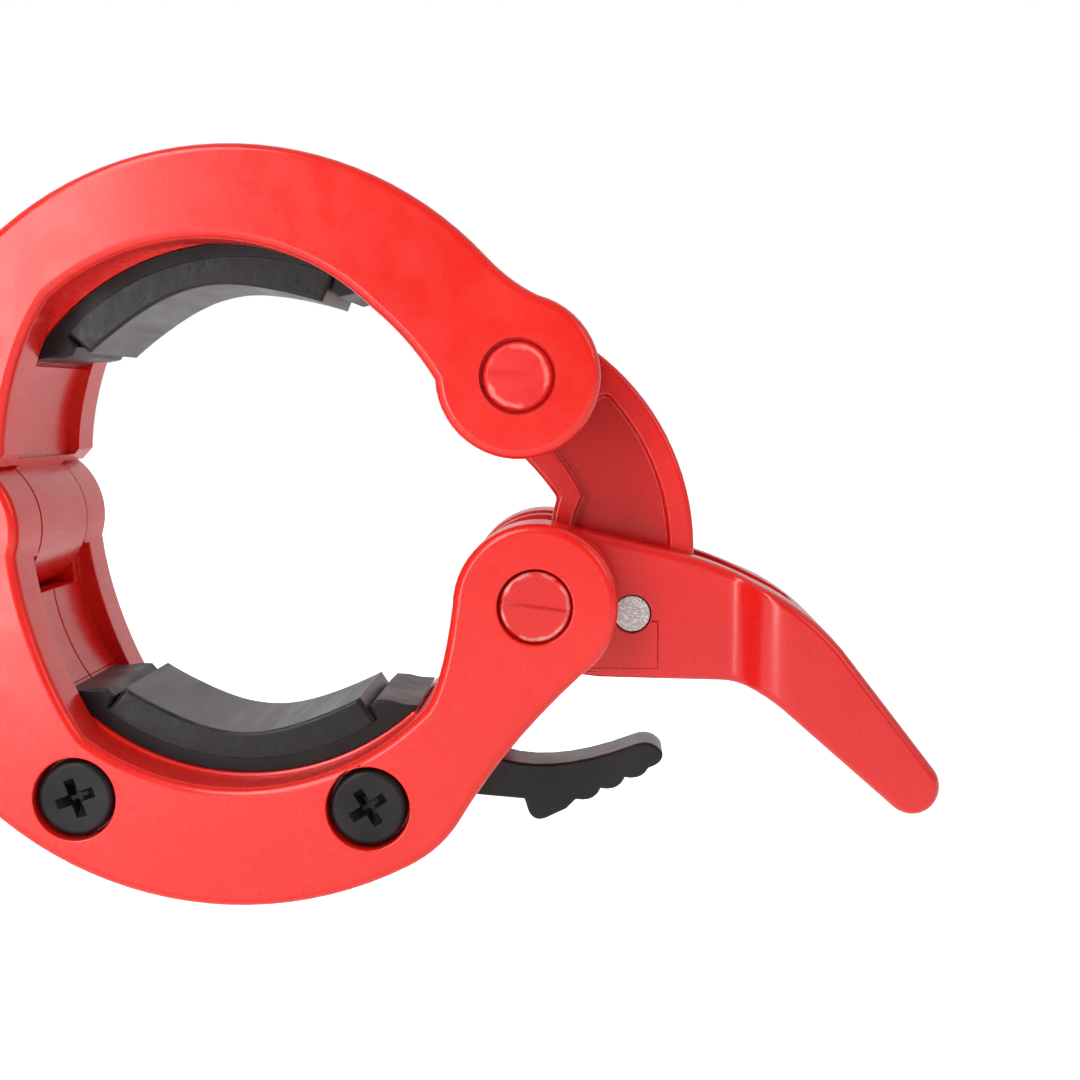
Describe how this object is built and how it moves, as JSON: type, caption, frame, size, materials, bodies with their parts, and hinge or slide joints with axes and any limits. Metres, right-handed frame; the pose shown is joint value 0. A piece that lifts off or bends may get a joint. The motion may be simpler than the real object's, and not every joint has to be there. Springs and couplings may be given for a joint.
{
  "type": "barbell clamp collar",
  "caption": "Hinged two-jaw toggle clamp collar with rubber grips, fold-over lever, curved link and sprung thumb latch, shown open.",
  "frame": {"origin": "on the sleeve axis, halfway across the jaws", "axes": "+Y along the sleeve, away from the screw-head face; +X towards the lever; +Z towards the upper jaw"},
  "size_m": [0.1269, 0.036, 0.0886],
  "materials": {
    "jaw_red": "moulded glass-filled nylon, satin gloss",
    "lever_red": "moulded nylon, satin gloss",
    "link_red": "moulded nylon, satin gloss",
    "pin_red": "moulded nylon pin, staked ends",
    "grip_rubber": "moulded rubber with a fine drag grain",
    "base_black": "flexible black plastic",
    "latch_black": "moulded nylon with a mid parting line",
    "screw_black": "black oxide steel",
    "steel": "cropped steel pin, rough ends"
  },
  "bodies": {
    "lower_jaw": {"lower_jaw_front": "jaw_red", "lower_jaw_rear": "jaw_red", "lower_pad": "grip_rubber", "lower_pad_base": "base_black", "hinge_pin": "steel", "screw_right": "screw_black", "screw_left": "screw_black", "nut_right": "screw_black", "nut_left": "screw_black", "latch_sleeve": "steel", "spacer_sleeve": "steel", "latch_spring": "steel"},
    "upper_jaw": {"upper_jaw": "jaw_red", "upper_pad": "grip_rubber", "upper_pad_base": "base_black", "link_hinge_pin": "pin_red"},
    "link": {"link": "link_red"},
    "lever": {"lever": "lever_red", "link_steel_pin": "steel"},
    "release_latch": {"release_latch": "latch_black"}
  },
  "joints": [
    {"name": "lever_pivot", "type": "hinge", "parent": "lower_jaw", "child": "lever", "pos_m": [0.035, 0, -0.009], "axis": [0, 1, 0], "range_deg": [0, 84]},
    {"name": "upper_jaw_hinge", "type": "hinge", "parent": "lower_jaw", "child": "upper_jaw", "pos_m": [-0.0346, 0, -0.0005], "axis": [0, 1, 0], "range_deg": [0, 5.6]},
    {"name": "link_pivot", "type": "hinge", "parent": "upper_jaw", "child": "link", "pos_m": [0.033, 0, 0.0175], "axis": [0, 1, 0], "range_deg": [0, 19.7]},
    {"name": "release_latch_pivot", "type": "hinge", "parent": "lower_jaw", "child": "release_latch", "pos_m": [0.0155, 0, -0.0327], "axis": [0, -1, 0], "range_deg": [0, 9], "stiffness_Nm_per_rad": 0.04, "springref_deg": -8.59}
  ],
  "couplings": [
    {"joint": "upper_jaw_hinge", "follows": "lever_pivot", "ratio": 0.066411},
    {"joint": "link_pivot", "follows": "lever_pivot", "ratio": 0.2341}
  ]
}
